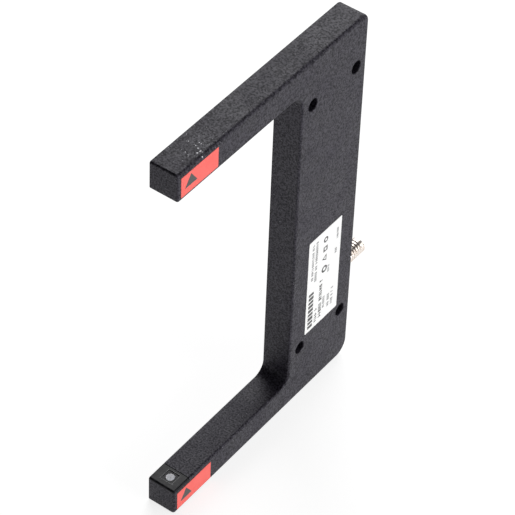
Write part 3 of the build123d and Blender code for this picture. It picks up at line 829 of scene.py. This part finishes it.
@dataclass
class Connector:
    """The threaded, plated connector shell, with its insert and contacts."""

    pitch: float = 1.7 * MM
    thread_depth: float = 0.50 * MM
    root_share: float = 0.10
    flank_share: float = 0.45
    run_in_turns: float = 0.8
    run_out_turns: float = 0.5
    smooth_end: float = 1.6 * MM
    steps_per_turn: int = 14
    around: int = 120
    relief: float = 1.5 * MM
    relief_depth: float = 0.5 * MM
    flange_height: float = 2.5 * MM
    flange_flat: float = 5.0 * MM
    flange_chamfer: float = 0.45 * MM
    wall: float = 0.9 * MM
    outer_radius: float = 4.0 * MM
    mouth_chamfer: float = 0.5 * MM
    stub_end: float = 0.3 * MM

    def hexagon(self, angle: float, cut: float) -> float:
        """Radius of the hexagonal flange.

        Args:
            angle: Angle round the axis.
            cut: How far the corners are turned down.

        Returns:
            The radius there.
        """
        sector = (angle + math.pi / 6) % (math.pi / 3) - math.pi / 6
        corner = self.flange_flat / math.cos(math.pi / 6)
        return min(self.flange_flat / math.cos(sector), corner - cut)

    def thread(self, angle: float, along: float, start: float, end: float) -> float:
        """Radius of the threaded barrel.

        Args:
            angle: Angle round the axis.
            along: Distance along the axis.
            start: Where the thread starts.
            end: Where the barrel ends.

        Returns:
            The radius there.
        """
        phase = (along / self.pitch - angle / (2 * math.pi)) % 1.0
        slope = abs(2 * phase - 1)
        height = clamp((slope - self.root_share) / self.flank_share)
        run_in = clamp((along - start) / (self.run_in_turns * self.pitch))
        run_out = clamp((end - self.smooth_end - along) / (self.run_out_turns * self.pitch))
        radius = self.outer_radius - self.thread_depth * (1 - height * run_in) * run_out
        from_mouth = min((end - along) / self.mouth_chamfer, 1.0)
        return min(radius, self.outer_radius - self.mouth_chamfer * (1 - from_mouth))

    def profile(self) -> list[tuple[float, Callable[[float], float]]]:
        """The closed outline of the shell: places along the axis, each with its radius by angle."""
        low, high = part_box("connector_shell")
        back_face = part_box("housing")[1].y
        flange_top = back_face + self.flange_height
        thread_start = flange_top + self.relief
        bore = self.outer_radius - self.wall
        neck = self.outer_radius - self.relief_depth
        rows: list[tuple[float, Callable[[float], float]]] = [
            (low.y, lambda a: bore),
            (low.y, lambda a: self.outer_radius - self.stub_end),
            (low.y + self.stub_end, lambda a: self.outer_radius),
            (back_face, lambda a: self.outer_radius),
            (back_face, lambda a: self.hexagon(a, self.flange_chamfer)),
            (back_face + self.flange_chamfer / 2, lambda a: self.hexagon(a, 0.0)),
            (flange_top - self.flange_chamfer, lambda a: self.hexagon(a, 0.0)),
            (flange_top, lambda a: self.hexagon(a, 2 * self.flange_chamfer) - 0.1 * MM),
            (flange_top, lambda a: neck),
            (thread_start - 0.3 * MM, lambda a: neck),
        ]
        count = int((high.y - thread_start) / self.pitch * self.steps_per_turn)
        for i in range(count + 1):
            along = thread_start + (high.y - thread_start) * i / count
            rows.append((along, lambda a, y=along: self.thread(a, y, thread_start, high.y)))
        rows.append((high.y, lambda a: bore + 0.15 * MM))
        rows.append((high.y - 0.15 * MM, lambda a: bore))
        return rows

    def shell(self) -> bpy.types.Object:
        """Build the shell's mesh as rings round the axis, joined into one closed surface."""
        centre = middle("connector_shell")
        builder = bmesh.new()
        rings = []
        for along, radius_at in self.profile():
            ring = []
            for j in range(self.around):
                angle = 2 * math.pi * j / self.around
                radius = radius_at(angle)
                place = (centre.x + radius * math.cos(angle), along, centre.z + radius * math.sin(angle))
                ring.append(builder.verts.new(place))
            rings.append(ring)
        for i, ring in enumerate(rings):
            following = rings[(i + 1) % len(rings)]
            for j in range(self.around):
                k = (j + 1) % self.around
                builder.faces.new((ring[j], ring[k], following[k], following[j]))
        return new_piece("connector_threaded_shell", builder, 28.0)

    def build(self) -> None:
        """Build the shell and dress what is inside it."""
        nickel = PlatedMetal("nickel_plate", (0.84, 0.78, 0.73), (0.66, 0.56, 0.48), 0.26)
        plated = nickel.build()
        shell = place_piece(self.shell(), plated)
        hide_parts("connector_shell")
        dress(["connector_nut"], plated)
        insert = Moulding("insert_black", (0.016, 0.016, 0.018), (0.03, 0.03, 0.033), 0.4)
        dress(["connector_insert"], insert.build())
        gold = PlatedMetal("contact_gold", (0.86, 0.62, 0.26), (0.6, 0.42, 0.18), 0.2)
        dress(["connector_pins"], gold.build())
        leads = Moulding("lead_jacket", (0.16, 0.07, 0.03), (0.24, 0.11, 0.05), 0.4)
        dress(["connector_leads"], leads.build())


@dataclass
class Adjuster:
    """A rotor that a screwdriver turns, with a printed scale round it."""

    rotor_node: str
    ticks: int
    first_degrees: float
    last_degrees: float
    inner_radius: float = 3.5 * MM
    tick_length: float = 0.9 * MM
    tick_width: float = 0.28 * MM
    ink_height: float = 0.02 * MM

    def scale(self) -> bpy.types.Object:
        """Print the tick marks on the back face."""
        centre = middle(self.rotor_node)
        face_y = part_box("housing")[1].y
        builder = bmesh.new()
        for i in range(self.ticks):
            share = i / max(self.ticks - 1, 1)
            angle = math.radians(self.first_degrees + share * (self.last_degrees - self.first_degrees))
            out = Vector((math.sin(angle), 0, math.cos(angle)))
            side = Vector((math.cos(angle), 0, -math.sin(angle))) * self.tick_width / 2
            long = self.tick_length * (1.4 if i in (0, self.ticks - 1) else 1.0)
            near = Vector((centre.x, face_y, centre.z)) + out * self.inner_radius
            far = near + out * long
            outline = [near - side, near + side, far + side, far - side]
            add_prism(builder, outline, Vector((0, self.ink_height, 0)))
        return new_piece(self.rotor_node.replace("_rotor", "_scale"), builder)

    def build(self, rotor: bpy.types.Material, ink: bpy.types.Material) -> None:
        """Dress the rotor and print its scale.

        Args:
            rotor: The rotor's material.
            ink: The scale's ink.
        """
        dress([self.rotor_node], rotor)
        place_piece(self.scale(), ink)


@dataclass
class Electronics:
    """Boards, ribbons and components inside the shell."""

    def build(self) -> None:
        """Dress every inner node."""
        dress(["main_board", "transmitter_board", "receiver_board"], Laminate("solder_mask").build())
        lens_holders = ["transmitter_lens_holder", "receiver_lens_holder"]
        packages = ["controller_chip", "voltage_regulator", "board_resistors"]
        adjuster_bodies = ["sensitivity_trimmer_body", "mode_selector_body"]
        indicator_chips = ["output_indicator_chip", "power_indicator_chip"]
        finishes: tuple[tuple[list[str], Moulding], ...] = (
            (
                ["transmitter_ribbon", "receiver_ribbon"],
                Moulding("ribbon_film", (0.62, 0.58, 0.46), (0.72, 0.68, 0.56), 0.35),
            ),
            (["ribbon_sockets"], Moulding("socket_ivory", (0.74, 0.70, 0.60), (0.80, 0.77, 0.68))),
            (packages, Moulding("package_black", (0.02, 0.02, 0.022), (0.035, 0.035, 0.038), 0.5)),
            (adjuster_bodies, Moulding("trimmer_blue", (0.03, 0.09, 0.28), (0.05, 0.13, 0.36))),
            (
                lens_holders,
                Moulding("holder_black", (0.015, 0.015, 0.016), (0.03, 0.03, 0.032), 0.55),
            ),
            (
                ["transmitter_emitter"],
                Moulding("emitter_resin", (0.55, 0.03, 0.02), (0.70, 0.06, 0.04), 0.15, glow=0.5),
            ),
            (
                ["receiver_photodiode"],
                Moulding("diode_resin", (0.02, 0.02, 0.03), (0.04, 0.04, 0.06), 0.15),
            ),
            (indicator_chips, Moulding("chip_cap", (0.78, 0.76, 0.60), (0.86, 0.84, 0.70), 0.25)),
            (
                ["output_light_pipe"],
                Moulding("pipe_amber", (0.80, 0.42, 0.04), (0.88, 0.52, 0.08), 0.12, glow=0.45),
            ),
            (
                ["power_light_pipe"],
                Moulding("pipe_green", (0.10, 0.50, 0.12), (0.16, 0.60, 0.18), 0.12, glow=0.45),
            ),
        )
        for names, finish in finishes:
            dress(names, finish.build())
        can = PlatedMetal("capacitor_can", (0.72, 0.72, 0.74), (0.56, 0.56, 0.58), 0.3, TURNED_IN_X)
        dress(["board_capacitors"], can.build())


# ---------------------------------------------------------------- stage
@dataclass(frozen=True)
class Softbox:
    """A square area light that faces the object."""

    name: str
    towards: Vector
    distance: float
    size: float
    power: float
    colour: Colour = (1.0, 1.0, 1.0)

    def build(self, target: Vector) -> None:
        """Hang the light.

        Args:
            target: The point it faces.
        """
        light = bpy.data.lights.new(self.name, "AREA")
        light.shape = "SQUARE"
        light.size = self.size
        light.energy = self.power
        light.color = self.colour
        lamp = bpy.data.objects.new(self.name, light)
        direction = self.towards.normalized()
        lamp.location = target + direction * self.distance
        lamp.rotation_euler = direction.to_track_quat("Z", "Y").to_euler()
        bpy.context.scene.collection.objects.link(lamp)


@dataclass
class Studio:
    """Pale floor, soft lights and the camera."""

    azimuth: float = 35.40
    elevation: float = 44.38
    roll: float = -2.27
    distance: float = 1.3757
    pivot_in: float = 1.0 * MM
    pivot_right: float = 0.03625
    pivot_up: float = -0.04114
    lens: float = 198.15
    floor_half: float = 6.0
    table_glow: float = 0.81
    ambient: float = 0.06
    softboxes: tuple[Softbox, ...] = (
        Softbox("overhead_softbox", Vector((-0.45, 0.75, 0.62)), 2.2, 1.8, 43.0),
        Softbox("side_softbox", Vector((0.95, 0.15, 0.20)), 2.0, 1.0, 24.4),
        Softbox("edge_softbox", Vector((0.70, 0.58, 0.41)), 2.4, 0.9, 7.0),
    )

    def camera(self) -> None:
        """Stand the camera where it sees the label face, the top and the tips."""
        low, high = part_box("housing")
        pivot = Vector(((low.x + high.x) / 2, high.y - self.pivot_in, low.z))
        az, el = math.radians(self.azimuth), math.radians(self.elevation)
        back = Vector((math.sin(az) * math.cos(el), -math.cos(az) * math.cos(el), math.sin(el)))
        right = Vector((0, 0, 1)).cross(back).normalized()
        up = back.cross(right)
        turn = Matrix((right, up, back)).transposed() @ Matrix.Rotation(-math.radians(self.roll), 3, "Z")
        data = bpy.data.cameras.new("camera")
        data.lens = self.lens
        view = bpy.data.objects.new("camera", data)
        place = pivot + turn @ Vector((-self.pivot_right, -self.pivot_up, self.distance))
        view.matrix_world = Matrix.Translation(place) @ turn.to_4x4()
        bpy.context.scene.collection.objects.link(view)
        bpy.context.scene.camera = view

    def floor(self) -> None:
        """Lay the floor under the lower arm."""
        g = Graph("light_table_floor")
        tone = g.mix(g.noise(0.4, detail=2.0), (0.34, 0.34, 0.34), (0.37, 0.37, 0.37))
        g.shade(Emission_Color=(1.0, 1.0, 1.0), Emission_Strength=self.table_glow)
        material = g.shade(Base_Color=tone, Roughness=0.95, Specular_IOR_Level=0.1)
        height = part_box("housing")[0].z
        builder = bmesh.new()
        bmesh.ops.create_grid(builder, x_segments=1, y_segments=1, size=self.floor_half)
        bmesh.ops.translate(builder, verts=builder.verts, vec=(0, 0, height))
        floor = new_piece("floor", builder)
        floor.data.materials.append(material)

    def build(self) -> None:
        """Set up the stage."""
        world = bpy.data.worlds.new("studio")
        world.use_nodes = True
        background = world.node_tree.nodes["Background"]
        background.inputs["Color"].default_value = (1.0, 1.0, 1.0, 1.0)
        background.inputs["Strength"].default_value = self.ambient
        bpy.context.scene.world = world
        bpy.context.scene.view_settings.view_transform = "Standard"
        for softbox in self.softboxes:
            softbox.build(middle("housing"))
        self.camera()
        self.floor()


def main() -> None:
    """Build the sub-assemblies in order."""
    Studio().build()
    log.info("stage set")
    Shell().build()
    window = FilterPlastic("window_filter").build()
    bezel = FilterPlastic("bezel_gloss", (0.03, 0.03, 0.034), (0.10, 0.10, 0.11), 0.16, 0.5).build()
    red = PrintedFilm("beam_label_red", (0.85, 0.097, 0.078), (0.76, 0.080, 0.066)).build()
    mark = Ink("beam_mark_ink", (0.03, 0.032, 0.032), (0.06, 0.06, 0.06)).build()
    for side in Side:
        OpticalHead(side).build(window, bezel)
        BeamLabel(side).build(red, mark)
        log.info("built the %s head", side.name.lower())
    white = PrintedFilm("rating_label_white", (0.85, 0.85, 0.845), (0.79, 0.79, 0.785)).build()
    dark_ink = Ink("print_dark", (0.02, 0.02, 0.022), (0.10, 0.10, 0.10)).build()
    pale_ink = Ink("print_grey", (0.16, 0.16, 0.17), (0.42, 0.42, 0.43)).build()
    RatingLabel().build(white, dark_ink, pale_ink)
    log.info("built the rating label")
    Connector().build()
    log.info("built the connector")
    ivory = Moulding("rotor_ivory", (0.72, 0.70, 0.62), (0.80, 0.78, 0.72), 0.35).build()
    scale_ink = Ink("scale_white", (0.72, 0.72, 0.72), (0.55, 0.55, 0.55)).build()
    Adjuster("sensitivity_trimmer_rotor", 11, -135.0, 135.0).build(ivory, scale_ink)
    Adjuster("mode_selector_rotor", 2, 0.0, 90.0).build(ivory, scale_ink)
    Electronics().build()
    log.info("dressed the electronics")


if __name__ == "__main__":
    main()
